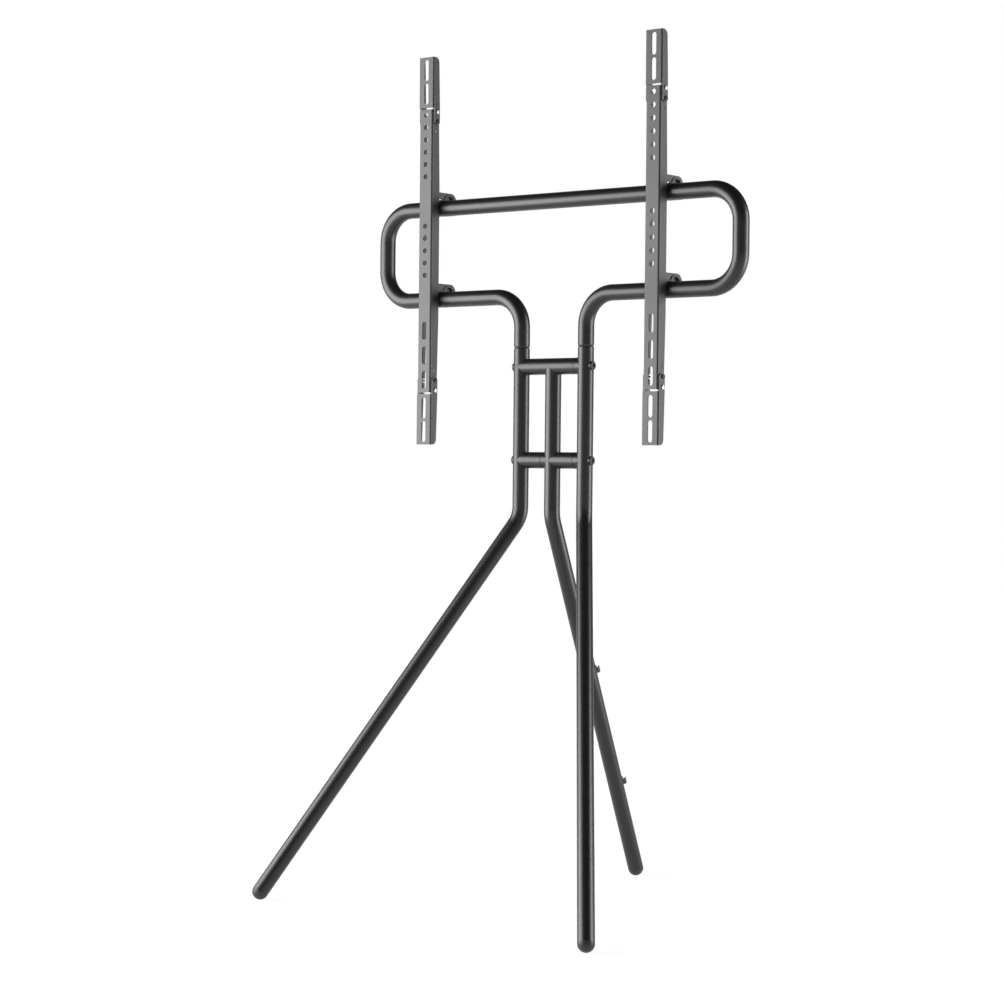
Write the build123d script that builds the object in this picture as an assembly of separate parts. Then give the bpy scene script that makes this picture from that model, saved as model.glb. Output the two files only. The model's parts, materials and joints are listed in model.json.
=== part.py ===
from build123d import *
import os
from math import cos, radians, sin, sqrt

# Easel television stand: a looped head tube plugged into two front legs, a rear leg held
# between them by crossbars, and two slotted rails that hook over the head tube's bars.
# Millimetres. X runs along the bars, -Y is the screen side, Z is up, and the floor is Z = 0.

# ---- Tubes ----
tube_d = 25.4
tube_wall = 1.5
bend_radius = 50.0
mast_half_spacing = 63.0
loop_half_width = 346.0
joint_z = 865.0
lower_bar_rise = 82.5
bar_spacing = 148.5
mast_length = 268.0
front_foot_x = 313.0
front_foot_y = 328.0
rear_foot_y = 241.5
joint_groove = 1.2
joint_taper = 2.6
joint_lip = 1.0

# ---- Head tube plugs ----
spigot_wall = 2.0
spigot_up = 30.0
spigot_down = 55.0
spigot_clearance = 0.1

# ---- Crossbars between the masts ----
crossbar_over = 0.6
crossbar_wall = 1.5
upper_crossbar_drop = 30.0
lower_crossbar_drop = 178.0
collar_under = 0.4
collar_reach = 16.0
collar_bore = 12.0
plug_length = 20.0
cross_bush_d = 12.0

# ---- Crossbar bolts ----
bolt_d = 8.0
bolt_hole_d = 8.5
bolt_head_d = 14.0
bolt_head_h = 2.2
bolt_socket = 5.0
bolt_socket_depth = 1.8
bolt_engagement = 12.0
cross_bush_engagement = 6.0
washer_d = 14.6
washer_crest = 0.4

# ---- Feet ----
foot_plug_length = 22.0
foot_plug_clearance = 0.1
foot_rib = 0.8

# ---- Cable clips on the rear leg ----
clip_heights = (338.0, 150.0)
clip_band = 1.6
clip_width = 9.0
clip_tail = 16.0
clip_bore = 8.0
clip_wall = 2.0
clip_mouth = 4.5
clip_screw_d = 3.0
clip_screw_head_d = 6.0
clip_screw_head_h = 1.4
clip_cable_gap = 0.3
clip_neck = 5.0

# ---- Rails ----
rail_width = 27.0
rail_sheet = 2.0
rail_bend = 2.8
rail_stand_off = 17.3
rail_depth_mid = 19.5
rail_depth_end = 16.2
rail_depth_tip = 13.5
rail_taper_reach = 34.0
left_rail_x = -241.0
right_rail_x = 206.0
first_hole_rise = 150.0
hole_d = 8.5
hole_pitch = 20.0
upper_hole_count = 6
lower_group_start = 180.0
lower_group_count = 5
arrow_index = 1
arrow_rise = 3.2
end_margin = 8.8
slot_pitch = 40.0
slot_start = 350.0
slot_count = 3
slot_length = 29.3
bottom_margin = 5.7

# ---- Rail extensions ----
extension_gap = 2.7
extension_length = 82.0
extension_slot_length = 34.3
extension_slot_margin = 4.0
extension_slot_web = 3.9
extension_clearance = 0.1
flange_overrun = 4.0
tip_corner = 9.0
screw_inset = 3.5
screw_pitch = 16.0
pilot_pitch = 15.0
pilot_d = 3.6
tab_end_radius = 5.3
screw_setback = 10.4
screw_d = 4.0
screw_head_d = 7.6
screw_head_h = 2.4
nut_flats = 7.0
nut_height = 3.0

# ---- Hooks, liners and clamps ----
hook_over = 13.3
hook_behind = 20.3
hook_corner = 13.0
hook_nose = 5.0
hook_nose_drop = 9.0
hook_band = 3.8
throat_over = 0.8
liner_gap = 0.3
liner_wall = 1.3
liner_lip = 1.6
liner_lip_rise = 1.7
liner_rim = 1.4
liner_recess = 4.0
liner_front_drop = 11.0
liner_back_rise = 8.0
rivet_d = 2.4
rivet_head_d = 4.0
rivet_head_h = 1.3
rivet_ahead = 9.2
rivet_margin = 0.3
clamp_plate = 3.0
clamp_plate_top = 12.0
clamp_d = 6.0
clamp_fit = 0.05
clamp_nut_flats = 10.0
clamp_nut_h = 5.0
clamp_pad_d = 10.0
clamp_pad_h = 3.6
clamp_tip_d = 4.0
clamp_tip_h = 2.2
clamp_knob_d = 14.0
clamp_knob_h = 8.0
clamp_knob_stand_off = 2.0
clamp_knob_ribs = 12

# ---- Derived sizes ----
tube_r = tube_d / 2
tube_bore_r = tube_r - tube_wall
crossbar_d = tube_d + crossbar_over
collar_d = tube_d - collar_under
lower_bar_z = joint_z + lower_bar_rise
top_bar_z = lower_bar_z + bar_spacing
leg_bend_z = joint_z - mast_length
upper_crossbar_z = joint_z - upper_crossbar_drop
lower_crossbar_z = joint_z - lower_crossbar_drop
first_hole_z = top_bar_z + first_hole_rise
rail_front_y = -(tube_r + rail_stand_off)
hook_top = tube_r + hook_over
hook_back = tube_r + hook_behind
throat_radius = tube_r + throat_over
throat_y = hook_back - hook_nose - throat_radius
throat_z = hook_top - hook_band - throat_radius
plate_top = first_hole_z + end_margin
plate_bottom = first_hole_z - slot_start - slot_pitch * (slot_count - 1) - slot_length / 2 - bottom_margin
rail_back_mid = rail_front_y + rail_depth_mid
mast_y = (front_foot_y - rear_foot_y) / 2
clip_ring_y = tube_r + clip_band + clip_screw_head_h + clip_cable_gap + clip_bore / 2
liner_bore_r = tube_r + liner_gap
liner_outer_r = liner_bore_r + liner_wall
rivet_reach = liner_outer_r + rivet_head_d / 2 + rivet_margin
rivet_z = sqrt(rivet_reach**2 - rivet_ahead**2)
bars_z = (top_bar_z, lower_bar_z)


def cylinder_between(start, end, radius):
    """A solid rod from one point to another."""
    axis = Vector(*end) - Vector(*start)
    return Solid.make_cylinder(radius, axis.length, Plane(origin=start, z_dir=axis))


def hollow_tube(points, radius, wall, bend):
    """A round tube along straight runs joined by bends in its centreline."""
    path = FilletPolyline(*points, radius=bend)
    section = Plane(origin=path @ 0, z_dir=path % 0) * (Circle(radius) - Circle(radius - wall))
    return sweep(section, path=path)


def cross_hole(x, z, diameter, length):
    """A drilling along X, centred on a point of the mast plane."""
    half = length / 2
    return cylinder_between((x - half, 0, z), (x + half, 0, z), diameter / 2)


def mirrored(shape):
    """The same shape on the other side of the stand."""
    return mirror(shape, about=Plane.YZ)


# ---- Frame ----
def end_taper(x, reach):
    """What the cone on a tube's end at the joint takes away; a negative reach points down."""
    low, high = sorted((joint_z, joint_z + reach))
    radii = (tube_r - joint_groove, tube_r)
    bottom_r, top_r = radii if reach > 0 else radii[::-1]
    ring = cylinder_between((x, 0, low), (x, 0, high), tube_r + 1)
    cone = Solid.make_cone(bottom_r, top_r, high - low, Plane(origin=(x, 0, low), z_dir=(0, 0, 1)))
    return ring - cone


def head_loop_tube():
    """One bent tube: mast, lower bar, loop, top bar, loop, lower bar, mast."""
    half = [
        (mast_half_spacing, 0, joint_z),
        (mast_half_spacing, 0, lower_bar_z),
        (loop_half_width, 0, lower_bar_z),
        (loop_half_width, 0, top_bar_z),
    ]
    points = [(-x, y, z) for x, y, z in half] + half[::-1]
    tube = hollow_tube(points, tube_r, tube_wall, bend_radius)
    for x in (-mast_half_spacing, mast_half_spacing):
        tube -= end_taper(x, joint_taper)
    return tube


def head_spigots():
    """Sleeves fixed in the ends of the head tube that plug into the front legs."""
    outer = tube_bore_r - spigot_clearance
    parts = []
    for x in (-mast_half_spacing, mast_half_spacing):
        low, high = (x, 0, joint_z - spigot_down), (x, 0, joint_z + spigot_up)
        sleeve = cylinder_between(low, high, outer) - cylinder_between(low, high, outer - spigot_wall)
        parts.append(sleeve - cross_hole(x, upper_crossbar_z, bolt_hole_d, tube_d * 2))
    return parts


def front_leg():
    """The right front leg: straight mast, one bend, then a run outwards and forwards."""
    points = [
        (mast_half_spacing, 0, joint_z),
        (mast_half_spacing, 0, leg_bend_z),
        (front_foot_x, -front_foot_y, tube_r),
    ]
    leg = hollow_tube(points, tube_r, tube_wall, bend_radius)
    leg -= end_taper(mast_half_spacing, -joint_lip)
    for z in (upper_crossbar_z, lower_crossbar_z):
        leg -= cross_hole(mast_half_spacing, z, bolt_hole_d, tube_d * 2)
    return leg


def rear_leg():
    """The rear leg, coped to the underside of the upper crossbar."""
    points = [(0, 0, upper_crossbar_z), (0, 0, leg_bend_z), (0, rear_foot_y, tube_r)]
    leg = hollow_tube(points, tube_r, tube_wall, bend_radius)
    leg -= cross_hole(0, upper_crossbar_z, crossbar_d, tube_d * 2)
    leg -= cross_hole(0, lower_crossbar_z, cross_bush_d, tube_d * 2)
    for place in clip_places():
        leg -= place * clip_screw_hole()
    return leg.solids().sort_by(SortBy.VOLUME)[-1]


def crossbar(x_start, x_end, z):
    """A straight tube between two collars."""
    start, end = (x_start, 0, z), (x_end, 0, z)
    bore = crossbar_d / 2 - crossbar_wall
    return cylinder_between(start, end, crossbar_d / 2) - cylinder_between(start, end, bore)


def collar(axis_x, side, z):
    """A spacer between a crossbar's square end and the round tube that it meets."""
    face_x = axis_x + side * collar_reach
    ring = cylinder_between((axis_x, 0, z), (face_x, 0, z), collar_d / 2)
    ring -= cylinder_between((axis_x, 0, z), (face_x, 0, z), collar_bore / 2)
    return ring - cylinder_between((axis_x, 0, z - tube_d), (axis_x, 0, z + tube_d), tube_r)


def saddle_collars():
    """Six collars: two on the upper crossbar and four on the lower pair."""
    m = mast_half_spacing
    places = [(-m, 1, upper_crossbar_z), (m, -1, upper_crossbar_z)]
    places += [(-m, 1, lower_crossbar_z), (0, -1, lower_crossbar_z)]
    places += [(0, 1, lower_crossbar_z), (m, -1, lower_crossbar_z)]
    return [collar(*place) for place in places]


def crossbar_plugs():
    """Threaded plugs pressed into the ends of the upper crossbar."""
    face_x = mast_half_spacing - collar_reach
    start, end = (face_x, 0, upper_crossbar_z), (face_x - plug_length, 0, upper_crossbar_z)
    plug = cylinder_between(start, end, crossbar_d / 2 - crossbar_wall)
    plug -= cylinder_between(start, end, bolt_d / 2)
    return [mirrored(plug), plug]


def rear_leg_cross_bush():
    """A threaded bush through the rear leg that takes both lower bolts."""
    half = sqrt(tube_r**2 - (cross_bush_d / 2) ** 2)
    start, end = (-half, 0, lower_crossbar_z), (half, 0, lower_crossbar_z)
    return cylinder_between(start, end, cross_bush_d / 2) - cylinder_between(start, end, bolt_d / 2)


def crossbar_bolt(tip_x, z):
    """A low-headed bolt that enters the right mast from outside."""
    seat_x = mast_half_spacing + tube_r + washer_crest
    head_plane = Plane(origin=(seat_x, 0, z), x_dir=(0, 1, 0), z_dir=(1, 0, 0))
    head = extrude(head_plane * Circle(bolt_head_d / 2), bolt_head_h)
    rim = head.edges().sort_by(Axis.X)[-1]
    head = fillet(rim, bolt_head_h * 0.72)
    socket = head_plane.offset(bolt_head_h - bolt_socket_depth) * RegularPolygon(
        bolt_socket / 2, 6, major_radius=False
    )
    head -= extrude(socket, bolt_socket_depth)
    return head + cylinder_between((seat_x, 0, z), (tip_x, 0, z), bolt_d / 2)


def bolt_pair(tip_x, z):
    """The bolt on each side of the stand."""
    bolt = crossbar_bolt(tip_x, z)
    return [mirrored(bolt), bolt]


def bolt_saddle_washers():
    """Washers hollowed on one side to sit on the round masts."""
    x = mast_half_spacing
    washers = []
    for z in (upper_crossbar_z, lower_crossbar_z):
        blank = cylinder_between((x, 0, z), (x + tube_r + washer_crest, 0, z), washer_d / 2)
        blank -= cylinder_between((x, 0, z - tube_d), (x, 0, z + tube_d), tube_r)
        blank -= cross_hole(x, z, bolt_hole_d, tube_d * 3)
        washers += [mirrored(blank), blank]
    return washers


# ---- Feet ----
def foot_cap(foot, previous):
    """A plastic cap: a half ball that meets the floor and a ribbed plug inside the tube."""
    direction = (Vector(*foot) - Vector(*previous)).normalized()
    ball = Solid.make_sphere(tube_r, Plane(origin=foot, z_dir=direction), angle1=0, angle2=90)
    inner = tube_bore_r - foot_plug_clearance
    deep = Vector(*foot) - direction * foot_plug_length
    plug = cylinder_between(tuple(deep), foot, inner - foot_rib)
    rib_gap = foot_plug_length / 4
    for count in range(1, 4):
        low = Vector(*foot) - direction * (count * rib_gap + 1)
        high = Vector(*foot) - direction * (count * rib_gap - 1)
        plug += cylinder_between(tuple(low), tuple(high), inner)
    return ball + plug


# ---- Cable clips ----
def clip_places():
    """Where each clip sits: local Z points up the rear leg and local Y away from it."""
    low, high = Vector(0, rear_foot_y, tube_r), Vector(0, 0, leg_bend_z)
    up = (high - low).normalized()
    places = []
    for height in clip_heights:
        origin = low + up * ((height - low.Z) / up.Z)
        places.append(Plane(origin=origin, x_dir=(1, 0, 0), z_dir=up).location)
    return places


def clip_screw_hole():
    """The drilling in the leg's rear wall, in the clip's own frame."""
    z = -clip_tail + clip_screw_head_d / 2 + 1
    return cylinder_between((0, 0, z), (0, tube_r + clip_band, z), clip_screw_d / 2)


def cable_clip():
    """A curved tail against the leg with an open ring that holds a cable clear of the screw."""
    saddle = tube_r + clip_band
    span = clip_width
    tail = extrude(Circle(saddle) - Circle(tube_r), clip_tail + span)
    tail = tail.moved(Location((0, 0, -clip_tail)))
    keep = Box(span, saddle, clip_tail + span, align=(Align.CENTER, Align.MIN, Align.MIN))
    tail &= keep.moved(Location((0, 0, -clip_tail)))
    centre = clip_ring_y
    ring = extrude(Circle(clip_bore / 2 + clip_wall) - Circle(clip_bore / 2), span)
    ring = ring.moved(Location((0, centre, 0)))
    ring -= cylinder_between((0, 0, -1), (0, 0, span + 1), tube_r)
    mouth = Box(clip_mouth, clip_bore + clip_wall, span, align=(Align.CENTER, Align.MIN, Align.MIN))
    ring -= mouth.moved(Location((0, centre, 0)))
    neck = Box(clip_neck, centre - tube_r, span, align=(Align.CENTER, Align.MIN, Align.MIN))
    neck = neck.moved(Location((0, tube_r, 0)))
    neck -= cylinder_between((0, centre, -1), (0, centre, span + 1), clip_bore / 2 + clip_wall / 2)
    neck -= cylinder_between((0, 0, -1), (0, 0, span + 1), tube_r)
    clip = tail + ring + neck
    return clip - clip_screw_hole()


def cable_clip_screw():
    """The small screw through the clip's tail."""
    z = -clip_tail + clip_screw_head_d / 2 + 1
    seat = tube_r + clip_band
    shank = cylinder_between((0, tube_bore_r - 3, z), (0, seat, z), clip_screw_d / 2)
    head = cylinder_between((0, seat, z), (0, seat + clip_screw_head_h, z), clip_screw_head_d / 2)
    head = fillet(head.edges().sort_by(Axis.Y)[-1], clip_screw_head_h * 0.7)
    return head + shank


# ---- Rails ----
def rail_channel(width, z_low, z_high, depth):
    """A folded channel, open at the back, with round outer bends."""
    half = width / 2
    outer = Rectangle(width, depth + rail_bend)
    outer = fillet(outer.vertices().sort_by(Axis.Y)[:2], rail_bend)
    inner_bend = rail_bend - rail_sheet
    inner = Rectangle(width - 2 * rail_sheet, depth + rail_bend)
    inner = fillet(inner.vertices().sort_by(Axis.Y)[:2], inner_bend)
    shift = (depth + rail_bend) / 2
    section = outer.moved(Location((0, shift))) - inner.moved(Location((0, shift + rail_sheet)))
    section &= Rectangle(width, depth, align=(Align.CENTER, Align.MIN))
    body = extrude(section, z_high - z_low)
    return body.moved(Location((0, rail_front_y, z_low)))


def side_profile(outline, width):
    """A prism across the rail whose outline is given in Y and Z."""
    face = make_face(Polyline(*[(y, z) for y, z in outline], close=True))
    plane = Plane(origin=(-width, 0, 0), x_dir=(0, 1, 0), z_dir=(1, 0, 0))
    return extrude(plane * face, 2 * width)


def flange_outline():
    """The side view of a main rail: deepest beside the bars and shallower at both ends."""
    web_back = rail_front_y + rail_bend
    end_back = rail_front_y + rail_depth_end
    high, low = top_bar_z + rail_taper_reach, lower_bar_z - rail_taper_reach
    return [
        (rail_front_y - 1, plate_bottom),
        (web_back, plate_bottom),
        (web_back, plate_bottom - flange_overrun),
        (end_back, plate_bottom - flange_overrun),
        (rail_back_mid, low),
        (rail_back_mid, high),
        (end_back, plate_top + flange_overrun),
        (web_back, plate_top + flange_overrun),
        (web_back, plate_top),
        (rail_front_y - 1, plate_top),
    ]


def throat_outline():
    """The side view of the space in a hook that its liner fills, about the bar's axis."""
    return Circle(liner_outer_r) + Circle(throat_radius).moved(Location((throat_y, throat_z)))


def hook_outline(bar_z):
    """The side view of one hook, from the channel over the bar and down behind it."""
    front = rail_front_y + rail_bend
    block = Rectangle(hook_back - front, hook_top + hook_nose_drop, align=Align.MIN)
    block = block.moved(Location((front, -hook_nose_drop)))
    block = fillet(block.vertices().group_by(Axis.X)[-1].sort_by(Axis.Y)[-1], hook_corner)
    block = fillet(block.vertices().group_by(Axis.X)[-1].sort_by(Axis.Y)[0], hook_nose * 0.45)
    mouth = Rectangle(hook_back - hook_nose, hook_top + tube_d, align=(Align.MIN, Align.MAX))
    profile = block - throat_outline() - mouth.moved(Location((0, throat_z)))
    return profile.moved(Location((0, bar_z)))


def hook_ears(bar_z, width, sheet):
    """The pair of ears that one pressing has at one bar."""
    outline = hook_outline(bar_z)
    ears = []
    for x in (-width / 2, width / 2 - sheet):
        plane = Plane(origin=(x, 0, 0), x_dir=(0, 1, 0), z_dir=(1, 0, 0))
        ears.append(extrude(plane * outline, sheet))
    return ears


def front_drilling(z, shape):
    """A cut through the rail's front from a flat shape centred at a height."""
    plane = Plane(origin=(0, rail_front_y - 1, z), x_dir=(1, 0, 0), z_dir=(0, 1, 0))
    return extrude(plane * shape, rail_bend + 3)


def arrow_shape():
    """A round hole with a pointed top."""
    r = hole_d / 2
    tip = make_face(Polyline((-r, 0), (0, -r - arrow_rise), (r, 0), close=True))
    return Circle(r) + tip


def rail_cuts():
    """Every round hole and slot in a main rail's front."""
    cuts = []
    for count in range(upper_hole_count):
        cuts.append(front_drilling(first_hole_z - count * hole_pitch, Circle(hole_d / 2)))
    for count in range(lower_group_count):
        z = first_hole_z - lower_group_start - count * hole_pitch
        shape = arrow_shape() if count == arrow_index else Circle(hole_d / 2)
        cuts.append(front_drilling(z, shape))
    slot = SlotOverall(slot_length, hole_d, rotation=90)
    for count in range(slot_count):
        cuts.append(front_drilling(first_hole_z - slot_start - count * slot_pitch, slot))
    return cuts


def side_drilling(y, z, diameter, width):
    """A drilling along X through both sides of a rail."""
    return cylinder_between((-width, y, z), (width, y, z), diameter / 2)


def end_levels():
    """The plate's end, and which way the extension goes from it, at each end of a rail."""
    return ((plate_top, 1), (plate_bottom, -1))


def main_rail():
    """The pressed channel with its holes, slots and four hook ears."""
    reach = flange_overrun + 1
    rail = rail_channel(rail_width, plate_bottom - reach, plate_top + reach, rail_depth_mid)
    rail &= side_profile(flange_outline(), rail_width)
    for bar_z in bars_z:
        rail -= side_drilling(0, bar_z, 2 * liner_outer_r, rail_width)
        for ear in hook_ears(bar_z, rail_width, rail_sheet):
            rail += ear
    for cut in rail_cuts():
        rail -= cut
    screw_y = rail_front_y + screw_setback
    for end, away in end_levels():
        for count in range(2):
            z = end - away * (screw_inset + count * screw_pitch)
            rail -= side_drilling(screw_y, z, screw_d, rail_width)
        z = end - away * (screw_inset + screw_pitch + pilot_pitch)
        rail -= side_drilling(screw_y, z, pilot_d, rail_width)
    rail -= side_drilling(-rivet_ahead, top_bar_z + rivet_z, rivet_d, rail_width)
    return rail


def extension_outline(end, away):
    """The side view of an extension: a tapering end piece with a pair of tabs."""
    start = end + away * extension_gap
    tip = start + away * extension_length
    tab = end - away * (screw_inset + screw_pitch + tab_end_radius)
    web_back = rail_front_y + rail_bend
    back = rail_front_y + rail_depth_end
    return [
        (rail_front_y - 1, start),
        (web_back, start),
        (web_back, tab),
        (back, tab),
        (back, start),
        (rail_front_y + rail_depth_tip, tip),
        (rail_front_y - 1, tip),
    ]


def rounded_corner(y_edge, z_edge, radius, toward_y, toward_z):
    """What a round corner of a side view takes away."""
    centre_y = y_edge + toward_y * radius
    centre_z = z_edge + toward_z * radius
    width = rail_width
    block = Box(2 * width, radius, radius)
    block = block.moved(Location((0, y_edge + toward_y * radius / 2, z_edge + toward_z * radius / 2)))
    return block - side_drilling(centre_y, centre_z, 2 * radius, width + 1)


def rail_extension(end, away):
    """The channel that lengthens a rail, with tabs outside the main rail's flanges."""
    width = rail_width + 2 * (rail_sheet + extension_clearance)
    start = end + away * extension_gap
    tip = start + away * extension_length
    tab = end - away * (screw_inset + screw_pitch + tab_end_radius)
    low, high = min(tab, tip), max(tab, tip)
    piece = rail_channel(width, low, high, rail_depth_end)
    piece &= side_profile(extension_outline(end, away), width)
    taper = (rail_depth_end - rail_depth_tip) / extension_length
    tip_back = rail_front_y + rail_depth_tip + taper * tip_corner
    piece -= rounded_corner(tip_back, tip, tip_corner, -1, -away)
    piece -= rounded_corner(rail_front_y + rail_depth_end, tab, tab_end_radius, -1, away)
    piece -= rounded_corner(rail_front_y + rail_bend, tab, tab_end_radius, 1, away)
    slot = SlotOverall(extension_slot_length, hole_d, rotation=90)
    step = extension_slot_length + extension_slot_web
    for count in range(2):
        z = tip - away * (extension_slot_margin + extension_slot_length / 2 + count * step)
        piece -= front_drilling(z, slot)
    for count in range(2):
        z = end - away * (screw_inset + count * screw_pitch)
        piece -= side_drilling(rail_front_y + screw_setback, z, screw_d, width)
    return piece


def extension_screw():
    """A pan-head screw, pointing along -X from its seat at the origin."""
    head = cylinder_between((0, 0, 0), (screw_head_h, 0, 0), screw_head_d / 2)
    head = fillet(head.edges().sort_by(Axis.X)[-1], screw_head_h * 0.6)
    recess = cylinder_between((screw_head_h - 1.2, 0, 0), (screw_head_h, 0, 0), screw_d * 0.32)
    shank_end = -(2 * rail_sheet + extension_clearance + nut_height + 0.6)
    return head - recess + cylinder_between((0, 0, 0), (shank_end, 0, 0), screw_d / 2)


def extension_nut():
    """A hexagon nut whose outer face is at the origin and that lies along -X."""
    plane = Plane(origin=(0, 0, 0), x_dir=(0, 1, 0), z_dir=(-1, 0, 0))
    hexagon = plane * (RegularPolygon(nut_flats / 2, 6, major_radius=False) - Circle(screw_d / 2))
    return extrude(hexagon, nut_height)


def at_tab_screws(piece, face_x, rows):
    """Copies of a fastener on both sides of a rail; row 0 is nearest the rail's end."""
    copies = []
    y = rail_front_y + screw_setback
    for end, away in end_levels():
        for row in rows:
            z = end - away * (screw_inset + row * screw_pitch)
            placed = piece.moved(Location((face_x, y, z)))
            copies += [mirrored(placed), placed]
    return copies


def hook_liner(bar_z):
    """A plastic saddle that fills the hook's throat over the bar, with a rim outside each ear."""
    outside = rail_width / 2 + liner_lip
    core_half = rail_width / 2 - liner_recess
    plane = Plane(origin=(0, 0, bar_z), x_dir=(0, 1, 0), z_dir=(1, 0, 0))
    front = Rectangle(2 * hook_back, liner_front_drop + hook_top, align=(Align.MAX, Align.MIN))
    front = front.moved(Location((0, -liner_front_drop)))
    back = Rectangle(2 * hook_back, hook_top, align=(Align.MIN, Align.MIN))
    keep = front + back.moved(Location((0, liner_back_rise)))
    bar = Circle(liner_bore_r)
    shell = (Circle(liner_outer_r) - bar) & keep
    core = (throat_outline() - bar) & keep
    arch = Circle(throat_radius) - Circle(throat_radius - liner_rim)
    rim = Circle(throat_radius + liner_lip_rise) - Circle(throat_radius - liner_rim)
    centre = Location((throat_y, throat_z))
    arch = (arch.moved(centre) - Circle(liner_outer_r)) & back.moved(Location((0, liner_back_rise)))
    rim = (rim.moved(centre) - bar) & back.moved(Location((0, liner_back_rise)))
    piece = extrude(plane.offset(-outside) * shell, 2 * outside)
    piece += extrude(plane.offset(-core_half) * core, 2 * core_half)
    piece += extrude(plane.offset(-outside) * arch, 2 * outside)
    for start in (-outside, outside - liner_lip):
        piece += extrude(plane.offset(start) * rim, liner_lip)
    return piece


def hook_rivets():
    """Bright rivets through both ears of an upper hook."""
    y, z, face = -rivet_ahead, top_bar_z + rivet_z, rail_width / 2
    shank = cylinder_between((face - rail_sheet - 0.8, y, z), (face, y, z), rivet_d / 2)
    head = cylinder_between((face, y, z), (face + rivet_head_h, y, z), rivet_head_d / 2)
    head = fillet(head.edges().sort_by(Axis.X)[-1], rivet_head_h * 0.8)
    rivet = head + shank
    return [mirrored(rivet), rivet]


def clamp_levels():
    """Where the clamp plate and its nut lie behind the bar."""
    plate_back = hook_back - 1.0
    plate_front = plate_back - clamp_plate
    return plate_front, plate_back


def clamp_plates():
    """Plates welded between the ears, behind each bar."""
    front, back = clamp_levels()
    plates = []
    for bar_z in bars_z:
        height = clamp_plate_top + hook_nose_drop
        plate = Box(rail_width - 2 * rail_sheet, clamp_plate, height)
        mid_z = bar_z + (clamp_plate_top - hook_nose_drop) / 2
        plate = plate.moved(Location((0, (front + back) / 2, mid_z)))
        bore = cylinder_between((0, front, bar_z), (0, back, bar_z), clamp_d / 2 + clamp_fit)
        plates.append(plate - bore)
    return plates


def clamp_nuts():
    """Hexagon nuts welded to the front of each clamp plate."""
    front, _ = clamp_levels()
    nuts = []
    for bar_z in bars_z:
        plane = Plane(origin=(0, front, bar_z), x_dir=(1, 0, 0), z_dir=(0, -1, 0))
        ring = RegularPolygon(clamp_nut_flats / 2, 6, major_radius=False) - Circle(clamp_d / 2 + clamp_fit)
        nuts.append(extrude(plane * ring, clamp_nut_h))
    return nuts


def clamp_pad(bar_z):
    """The pressure pad that faces the back of the bar and turns on the screw's tip."""
    near = tube_r + liner_gap
    pad = cylinder_between((0, near, bar_z), (0, near + clamp_pad_h, bar_z), clamp_pad_d / 2)
    pad = chamfer(pad.edges().sort_by(Axis.Y)[0], 0.6)
    seat = near + clamp_pad_h - clamp_tip_h - 0.3
    return pad - cylinder_between(
        (0, seat, bar_z), (0, near + clamp_pad_h, bar_z), clamp_tip_d / 2 + clamp_fit
    )


def clamp_screw(bar_z):
    """The clamp screw with its ribbed knob behind the hook."""
    pad_back = tube_r + liner_gap + clamp_pad_h
    shoulder = pad_back + 0.3
    knob_front = hook_back - 1.0 + clamp_knob_stand_off
    tip_start = pad_back - clamp_tip_h
    screw = cylinder_between((0, tip_start, bar_z), (0, shoulder, bar_z), clamp_tip_d / 2)
    screw += cylinder_between((0, shoulder, bar_z), (0, knob_front, bar_z), clamp_d / 2)
    knob_end = knob_front + clamp_knob_h
    knob = cylinder_between((0, knob_front, bar_z), (0, knob_end, bar_z), clamp_knob_d / 2)
    knob = chamfer(knob.edges().sort_by(Axis.Y)[-1], 0.8)
    for count in range(clamp_knob_ribs):
        angle = radians(360 * count / clamp_knob_ribs)
        x, z = clamp_knob_d / 2 * cos(angle), clamp_knob_d / 2 * sin(angle)
        knob -= cylinder_between((x, knob_front, bar_z + z), (x, knob_end, bar_z + z), 0.7)
    return screw + knob


def rail_pieces(side, x):
    """Every piece of one rail assembly, in place."""
    outer_face = rail_width / 2 + extension_clearance + rail_sheet
    inner_face = rail_width / 2 - rail_sheet
    pieces = {
        "main_rail": [main_rail()],
        "top_extension": [rail_extension(*end_levels()[0])],
        "bottom_extension": [rail_extension(*end_levels()[1])],
        "end_screws_zinc": at_tab_screws(extension_screw(), outer_face, (0,)),
        "end_screws_black": at_tab_screws(extension_screw(), outer_face, (1,)),
        "extension_nuts": at_tab_screws(extension_nut(), inner_face, (0, 1)),
        "upper_hook_liner": [hook_liner(top_bar_z)],
        "lower_hook_liner": [hook_liner(lower_bar_z)],
        "hook_rivets": hook_rivets(),
        "clamp_plates": clamp_plates(),
        "clamp_nuts": clamp_nuts(),
        "upper_clamp_pad": [clamp_pad(top_bar_z)],
        "lower_clamp_pad": [clamp_pad(lower_bar_z)],
        "upper_clamp_screw": [clamp_screw(top_bar_z)],
        "lower_clamp_screw": [clamp_screw(lower_bar_z)],
    }
    return {f"{side}_{name}": [p.moved(Location((x, 0, 0))) for p in group] for name, group in pieces.items()}


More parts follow.
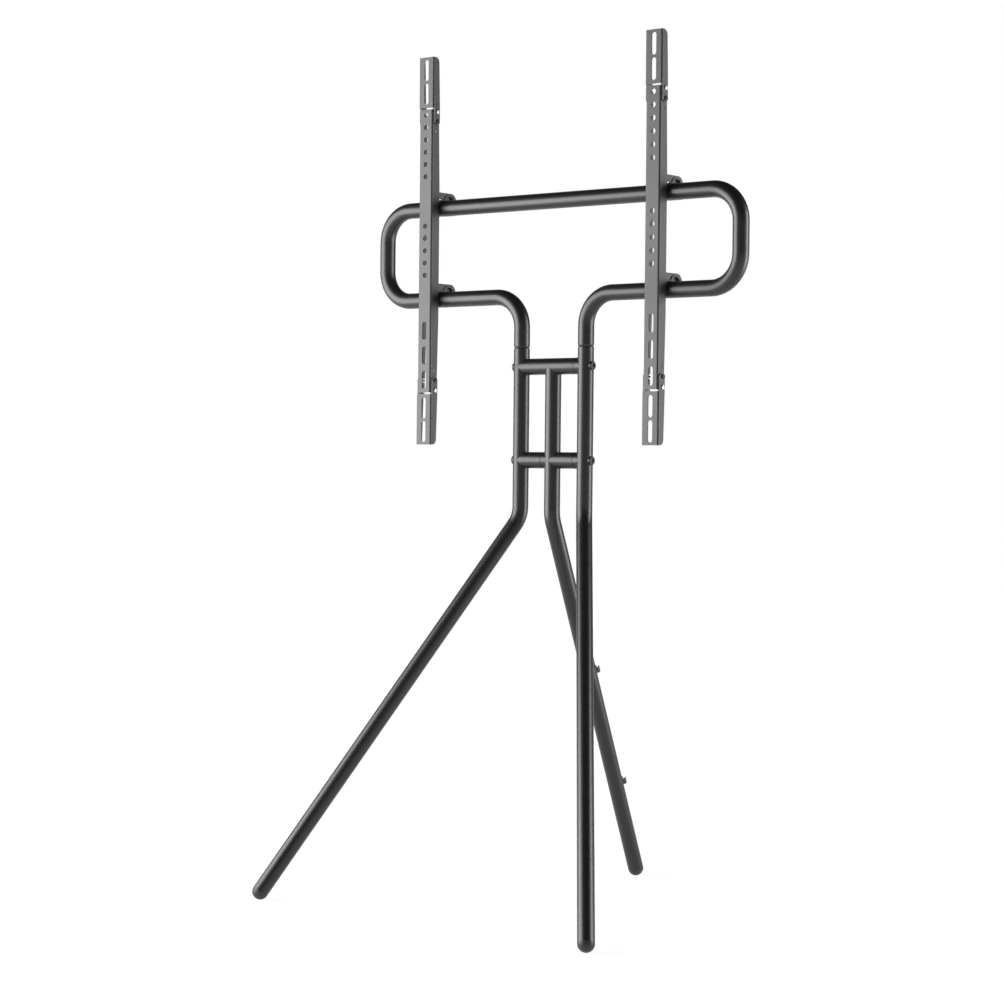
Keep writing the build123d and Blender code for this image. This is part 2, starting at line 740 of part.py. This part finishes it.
def frame_pieces():
    """Every piece of the standing frame, in place."""
    m = mast_half_spacing
    upper_tip = m - collar_reach - bolt_engagement
    lower_tip = sqrt(tube_r**2 - (cross_bush_d / 2) ** 2) - cross_bush_engagement
    front_foot = (front_foot_x, -front_foot_y, tube_r)
    right_cap = foot_cap(front_foot, (m, 0, leg_bend_z))
    right_leg = front_leg()
    clips = [place * cable_clip() for place in clip_places()]
    return {
        "head_loop_tube": [head_loop_tube()],
        "head_spigots": head_spigots(),
        "left_front_leg": [mirrored(right_leg)],
        "right_front_leg": [right_leg],
        "rear_leg": [rear_leg()],
        "upper_crossbar": [crossbar(-m + collar_reach, m - collar_reach, upper_crossbar_z)],
        "lower_crossbar_left": [crossbar(-m + collar_reach, -collar_reach, lower_crossbar_z)],
        "lower_crossbar_right": [crossbar(collar_reach, m - collar_reach, lower_crossbar_z)],
        "saddle_collars": saddle_collars(),
        "crossbar_plugs": crossbar_plugs(),
        "rear_leg_cross_bush": [rear_leg_cross_bush()],
        "upper_crossbar_bolts": bolt_pair(upper_tip, upper_crossbar_z),
        "lower_crossbar_bolts": bolt_pair(lower_tip, lower_crossbar_z),
        "bolt_saddle_washers": bolt_saddle_washers(),
        "left_foot_cap": [mirrored(right_cap)],
        "right_foot_cap": [right_cap],
        "rear_foot_cap": [foot_cap((0, rear_foot_y, tube_r), (0, 0, leg_bend_z))],
        "upper_cable_clip": [clips[0]],
        "lower_cable_clip": [clips[1]],
        "cable_clip_screws": [place * cable_clip_screw() for place in clip_places()],
    }


def export_node(name, solids):
    """Writes one node, moved so that the origin is on the floor under the middle of the stand."""
    placed = [solid.moved(Location((0, mast_y, 0))) for solid in solids]
    shape = placed[0] if len(placed) == 1 else Compound(children=placed)
    export_step(shape, f"parts/{name}.step")


os.makedirs("parts", exist_ok=True)
nodes = frame_pieces()
nodes.update(rail_pieces("left", left_rail_x))
nodes.update(rail_pieces("right", right_rail_x))
for node_name, node_solids in nodes.items():
    export_node(node_name, node_solids)
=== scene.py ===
import json

import bpy
from mathutils import Matrix, Vector


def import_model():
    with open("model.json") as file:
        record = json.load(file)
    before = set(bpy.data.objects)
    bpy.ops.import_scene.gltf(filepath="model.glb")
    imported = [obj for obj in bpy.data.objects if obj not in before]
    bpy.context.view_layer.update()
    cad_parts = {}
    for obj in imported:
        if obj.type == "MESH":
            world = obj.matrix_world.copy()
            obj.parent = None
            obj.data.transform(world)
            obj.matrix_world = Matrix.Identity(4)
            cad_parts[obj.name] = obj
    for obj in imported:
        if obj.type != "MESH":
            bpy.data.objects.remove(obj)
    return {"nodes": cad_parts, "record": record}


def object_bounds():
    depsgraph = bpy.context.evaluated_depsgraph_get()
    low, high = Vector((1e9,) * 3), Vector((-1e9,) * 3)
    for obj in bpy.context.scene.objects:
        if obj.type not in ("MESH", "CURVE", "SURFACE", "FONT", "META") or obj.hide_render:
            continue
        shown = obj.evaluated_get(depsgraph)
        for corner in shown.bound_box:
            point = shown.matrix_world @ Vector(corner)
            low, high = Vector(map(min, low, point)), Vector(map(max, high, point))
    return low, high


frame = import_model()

# Looks for the easel television stand. Everything is in metres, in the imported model's frame.

CAD_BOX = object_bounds()
NODES = frame["nodes"]
SLOT_OF = {row["node"]: row["material_slot"] for row in frame["record"]["subparts"]}

# ---- Camera ----
CAMERA_PLACE = Vector((2.29086, -3.01187, 0.68143))
CAMERA_RIGHT = Vector((0.78735024, 0.6164285, 0.00977244))
CAMERA_UP = Vector((-0.01752771, 0.00653719, 0.99982501))
CAMERA_LENS_MM = 86.8
SENSOR_MM = 36.0

# ---- Studio ----
FLOOR_SIZE = 60.0
FLOOR_COLOUR = (0.16, 0.16, 0.16)
FLOOR_GLOW_NEAR = 0.90
FLOOR_GLOW_FAR = 1.0
FLOOR_FADE = (0.6, 2.6)
BACKDROP = 1.0
ROOM_LIGHT = 0.07
ROOM_LOBE = 0.70
LOBE_DIRECTION = (-0.616, 0.787, 0.0)
LOBE_EDGES = (0.70, 0.97)
KEY_DIRECTION = (-0.743, -0.669, 0.06)
KEY_DISTANCE = 2.2
KEY_SIZE = (2.2, 2.1)
KEY_POWER = 118.0
STRIP_DIRECTION = (0.85, 0.527, 0.05)
STRIP_DISTANCE = 2.2
STRIP_SIZE = (0.9, 2.1)
STRIP_POWER = 56.0
FAR_CLIP = 200.0

# ---- Coats: linear colours, and the radius over which an edge counts as worn ----
TUBE_COLOUR = (0.0065, 0.0065, 0.007)
TUBE_WORN = (0.07, 0.07, 0.07)
RAIL_COLOUR = (0.022, 0.022, 0.023)
RAIL_WORN = (0.24, 0.24, 0.24)
COAT_EDGE = 0.0008
PLASTIC_EDGE = 0.0006
BOLT_EDGE = 0.0005
DIMPLE_SHARE = 0.45


# ---------------------------------------------------------------- node-tree helpers

class Shader:
    """A material's node tree, built one node at a time."""

    def __init__(self, name):
        self.material = bpy.data.materials.new(name)
        self.material.use_nodes = True
        self.tree = self.material.node_tree
        self.tree.nodes.clear()
        self.output = self.add("ShaderNodeOutputMaterial")
        self.surface = self.add("ShaderNodeBsdfPrincipled")
        self.link(self.surface.outputs["BSDF"], self.output.inputs["Surface"])
        self.place = self.add("ShaderNodeTexCoord").outputs["Object"]

    def add(self, kind, **settings):
        node = self.tree.nodes.new(kind)
        for key, value in settings.items():
            setattr(node, key, value)
        return node

    def link(self, start, end):
        self.tree.links.new(start, end)

    def noise(self, scale, detail=2.0, roughness=0.5):
        """Noise over the object's own coordinates; a scale of 1000 gives millimetre grains."""
        node = self.add("ShaderNodeTexNoise")
        node.inputs["Scale"].default_value = scale
        node.inputs["Detail"].default_value = detail
        node.inputs["Roughness"].default_value = roughness
        self.link(self.place, node.inputs["Vector"])
        return node.outputs["Fac"]

    def cells(self, scale):
        node = self.add("ShaderNodeTexVoronoi")
        node.inputs["Scale"].default_value = scale
        self.link(self.place, node.inputs["Vector"])
        return node.outputs["Distance"]

    def remap(self, value, low, high, to_low, to_high):
        node = self.add("ShaderNodeMapRange")
        for key, number in zip(("From Min", "From Max", "To Min", "To Max"), (low, high, to_low, to_high)):
            node.inputs[key].default_value = number
        self.link(value, node.inputs["Value"])
        return node.outputs["Result"]

    def maths(self, operation, first, second):
        node = self.add("ShaderNodeMath", operation=operation)
        for socket, value in zip(node.inputs, (first, second)):
            if isinstance(value, (int, float)):
                socket.default_value = value
            else:
                self.link(value, socket)
        return node.outputs["Value"]

    def blend_colours(self, amount, first, second):
        """Colour `first` where the amount is 0 and `second` where it is 1."""
        node = self.add("ShaderNodeMix", data_type="RGBA")
        self.link(amount, node.inputs["Factor"])
        for key, value in (("A", first), ("B", second)):
            socket = next(s for s in node.inputs if s.name == key and s.type == "RGBA")
            if isinstance(value, tuple):
                socket.default_value = (*value, 1.0)
            else:
                self.link(value, socket)
        return next(s for s in node.outputs if s.type == "RGBA")

    def edges(self, radius):
        """1 on sharp outer edges and 0 on open faces."""
        bevel = self.add("ShaderNodeBevel", samples=6)
        bevel.inputs["Radius"].default_value = radius
        geometry = self.add("ShaderNodeNewGeometry")
        alike = self.add("ShaderNodeVectorMath", operation="DOT_PRODUCT")
        self.link(bevel.outputs["Normal"], alike.inputs[0])
        self.link(geometry.outputs["Normal"], alike.inputs[1])
        return self.remap(alike.outputs["Value"], 0.995, 0.86, 0.0, 1.0)

    def bump(self, height, distance, strength):
        node = self.add("ShaderNodeBump")
        node.inputs["Distance"].default_value = distance
        node.inputs["Strength"].default_value = strength
        self.link(height, node.inputs["Height"])
        self.link(node.outputs["Normal"], self.surface.inputs["Normal"])

    def set(self, **sockets):
        for key, value in sockets.items():
            socket = self.surface.inputs[key.replace("_", " ")]
            if isinstance(value, (int, float, tuple)):
                socket.default_value = value
            else:
                self.link(value, socket)


# ---------------------------------------------------------------- materials

def powder_coat(name, colour, worn, grain, gloss, spread):
    """Satin powder coat: fine orange-peel grain, cloudy sheen and paler rubbed edges."""
    s = Shader(name)
    clouds = s.noise(9.0, 3.0)
    fine = s.noise(grain, 3.0, 0.6)
    shade = s.remap(clouds, 0.3, 0.7, 0.0, 1.0)
    base = s.blend_colours(shade, colour, tuple(c * 1.22 for c in colour))
    specks = s.remap(fine, 0.56, 0.74, 0.0, 0.35)
    base = s.blend_colours(specks, base, tuple(c * 2.0 for c in colour))
    rub = s.maths("MULTIPLY", s.edges(COAT_EDGE), s.remap(s.noise(70.0, 4.0), 0.42, 0.68, 0.0, 0.8))
    base = s.blend_colours(rub, base, worn)
    rough = s.maths("ADD", s.remap(fine, 0.3, 0.7, gloss - spread, gloss + spread),
                    s.remap(clouds, 0.3, 0.7, -0.02, 0.03))
    s.set(Base_Color=base, Roughness=rough, Metallic=0.0, IOR=1.5)
    s.surface.inputs["Specular IOR Level"].default_value = 0.5
    dimples = s.remap(s.cells(grain * DIMPLE_SHARE), 0.0, 0.8, 0.0, 0.5)
    peel = s.maths("ADD", s.remap(fine, 0.2, 0.8, 0.0, 1.0), dimples)
    s.bump(peel, 0.00006, 0.35)
    return s.material


def black_plastic():
    """Moulded plastic with a spark-eroded texture and slightly shinier corners."""
    s = Shader("moulded_black_plastic")
    texture = s.noise(1500.0, 4.0, 0.7)
    clouds = s.noise(40.0, 2.0)
    base = s.blend_colours(s.remap(clouds, 0.3, 0.7, 0.0, 1.0), (0.016, 0.016, 0.017), (0.026, 0.026, 0.027))
    rough = s.remap(texture, 0.3, 0.7, 0.42, 0.62)
    edge = s.edges(PLASTIC_EDGE)
    s.set(Base_Color=base, Roughness=s.maths("SUBTRACT", rough, s.maths("MULTIPLY", edge, 0.12)))
    s.bump(texture, 0.00008, 0.45)
    return s.material


def zinc_plate():
    """Bright zinc with fine turning lines and a faint cloudy stain."""
    s = Shader("bright_zinc_plate")
    stain = s.noise(260.0, 3.0)
    base = s.blend_colours(s.remap(stain, 0.35, 0.7, 0.0, 1.0), (0.78, 0.79, 0.81), (0.60, 0.62, 0.66))
    fine = s.noise(2600.0, 3.0)
    s.set(Base_Color=base, Metallic=1.0, Roughness=s.remap(fine, 0.3, 0.7, 0.18, 0.34))
    s.bump(fine, 0.00003, 0.3)
    return s.material


def black_oxide():
    """Black oxide on turned steel, with a dark sheen and pale worn corners."""
    s = Shader("black_oxide_steel")
    fine = s.noise(1800.0, 3.0)
    clouds = s.noise(150.0, 2.0)
    base = s.blend_colours(s.remap(clouds, 0.3, 0.7, 0.0, 1.0), (0.012, 0.012, 0.013), (0.024, 0.023, 0.022))
    rub = s.maths("MULTIPLY", s.edges(BOLT_EDGE), s.remap(s.noise(420.0, 3.0), 0.35, 0.7, 0.1, 0.8))
    base = s.blend_colours(rub, base, (0.13, 0.13, 0.13))
    s.set(Base_Color=base, Metallic=0.35, Roughness=s.remap(fine, 0.3, 0.7, 0.26, 0.40))
    s.bump(fine, 0.00003, 0.3)
    return s.material


def inner_steel():
    """Plain steel with turning marks, on pieces inside the tubes and rails."""
    s = Shader("plain_turned_steel")
    fine = s.noise(1400.0, 3.0)
    clouds = s.remap(s.noise(120.0), 0.3, 0.7, 0.0, 1.0)
    base = s.blend_colours(clouds, (0.40, 0.40, 0.41), (0.52, 0.52, 0.53))
    s.set(Base_Color=base, Metallic=1.0, Roughness=s.remap(fine, 0.3, 0.7, 0.3, 0.45))
    s.bump(fine, 0.00004, 0.3)
    return s.material


MATERIALS = {
    "frame_coat": powder_coat("tube_powder_coat", TUBE_COLOUR, TUBE_WORN, 900.0, 0.36, 0.05),
    "rail_coat": powder_coat("rail_powder_coat", RAIL_COLOUR, RAIL_WORN, 1100.0, 0.42, 0.05),
    "inner_steel": inner_steel(),
    "black_bolt": black_oxide(),
    "bright_zinc": zinc_plate(),
    "black_plastic": black_plastic(),
}


def dress_nodes():
    """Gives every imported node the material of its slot."""
    for name, node in NODES.items():
        node.data.materials.clear()
        node.data.materials.append(MATERIALS[SLOT_OF[name]])


# ---------------------------------------------------------------- studio

def floor_material():
    """A pale floor that brightens with distance into the white backdrop."""
    s = Shader("pale_floor")
    middle = s.add("ShaderNodeVectorMath", operation="LENGTH")
    s.link(s.place, middle.inputs[0])
    near, far = FLOOR_FADE
    glow = s.remap(middle.outputs["Value"], near, far, FLOOR_GLOW_NEAR, FLOOR_GLOW_FAR)
    s.set(Base_Color=(*FLOOR_COLOUR, 1.0), Roughness=0.9, Emission_Color=(1.0, 1.0, 1.0, 1.0))
    s.surface.inputs["Specular IOR Level"].default_value = 0.0
    s.link(glow, s.surface.inputs["Emission Strength"])
    return s.material


def floor():
    data = bpy.data.meshes.new("studio_floor")
    half = FLOOR_SIZE / 2
    corners = [(-half, -half, 0), (half, -half, 0), (half, half, 0), (-half, half, 0)]
    data.from_pydata(corners, [], [(0, 1, 2, 3)])
    data.materials.append(floor_material())
    piece = bpy.data.objects.new("studio_floor", data)
    bpy.context.scene.collection.objects.link(piece)


def area_light(name, middle, direction, distance, size, power):
    """A tall soft panel that faces the stand's middle."""
    data = bpy.data.lights.new(name, "AREA")
    data.shape = "RECTANGLE"
    data.size, data.size_y = size
    data.energy = power
    piece = bpy.data.objects.new(name, data)
    bpy.context.scene.collection.objects.link(piece)
    piece.location = middle + Vector(direction) * distance
    piece.rotation_euler = (middle - piece.location).to_track_quat("-Z", "Y").to_euler()


def world():
    """A white backdrop, and a dim room that is bright only where the backdrop stands."""
    made = bpy.data.worlds.new("studio")
    made.use_nodes = True
    tree = made.node_tree
    tree.nodes.clear()
    coordinates = tree.nodes.new("ShaderNodeTexCoord")
    facing = tree.nodes.new("ShaderNodeVectorMath")
    facing.operation = "DOT_PRODUCT"
    facing.inputs[1].default_value = LOBE_DIRECTION
    lobe = tree.nodes.new("ShaderNodeMapRange")
    lobe.interpolation_type = "SMOOTHSTEP"
    limits = (*LOBE_EDGES, ROOM_LIGHT, ROOM_LOBE)
    for key, number in zip(("From Min", "From Max", "To Min", "To Max"), limits):
        lobe.inputs[key].default_value = number
    room, backdrop, choose = (tree.nodes.new(kind) for kind in
                              ("ShaderNodeBackground", "ShaderNodeBackground", "ShaderNodeMixShader"))
    backdrop.inputs["Strength"].default_value = BACKDROP
    backdrop.inputs["Color"].default_value = (1.0, 1.0, 1.0, 1.0)
    room.inputs["Color"].default_value = (1.0, 1.0, 1.0, 1.0)
    path = tree.nodes.new("ShaderNodeLightPath")
    out = tree.nodes.new("ShaderNodeOutputWorld")
    for start, end in (
        (coordinates.outputs["Generated"], facing.inputs[0]),
        (facing.outputs["Value"], lobe.inputs["Value"]),
        (lobe.outputs["Result"], room.inputs["Strength"]),
        (path.outputs["Is Camera Ray"], choose.inputs["Fac"]),
        (room.outputs["Background"], choose.inputs[1]),
        (backdrop.outputs["Background"], choose.inputs[2]),
        (choose.outputs["Shader"], out.inputs["Surface"]),
    ):
        tree.links.new(start, end)
    bpy.context.scene.world = made


def camera():
    data = bpy.data.cameras.new("camera")
    data.lens = CAMERA_LENS_MM
    data.sensor_width = SENSOR_MM
    data.clip_end = FAR_CLIP
    piece = bpy.data.objects.new("camera", data)
    bpy.context.scene.collection.objects.link(piece)
    back = CAMERA_RIGHT.cross(CAMERA_UP)
    rows = Matrix((CAMERA_RIGHT, CAMERA_UP, back)).transposed().to_4x4()
    piece.matrix_world = Matrix.Translation(CAMERA_PLACE) @ rows
    bpy.context.scene.camera = piece


def studio():
    low, high = CAD_BOX
    middle = (low + high) / 2
    area_light("key_softbox", middle, KEY_DIRECTION, KEY_DISTANCE, KEY_SIZE, KEY_POWER)
    area_light("side_strip", middle, STRIP_DIRECTION, STRIP_DISTANCE, STRIP_SIZE, STRIP_POWER)
    world()
    floor()
    camera()
    view = bpy.context.scene.view_settings
    view.view_transform = "Standard"


dress_nodes()
studio()
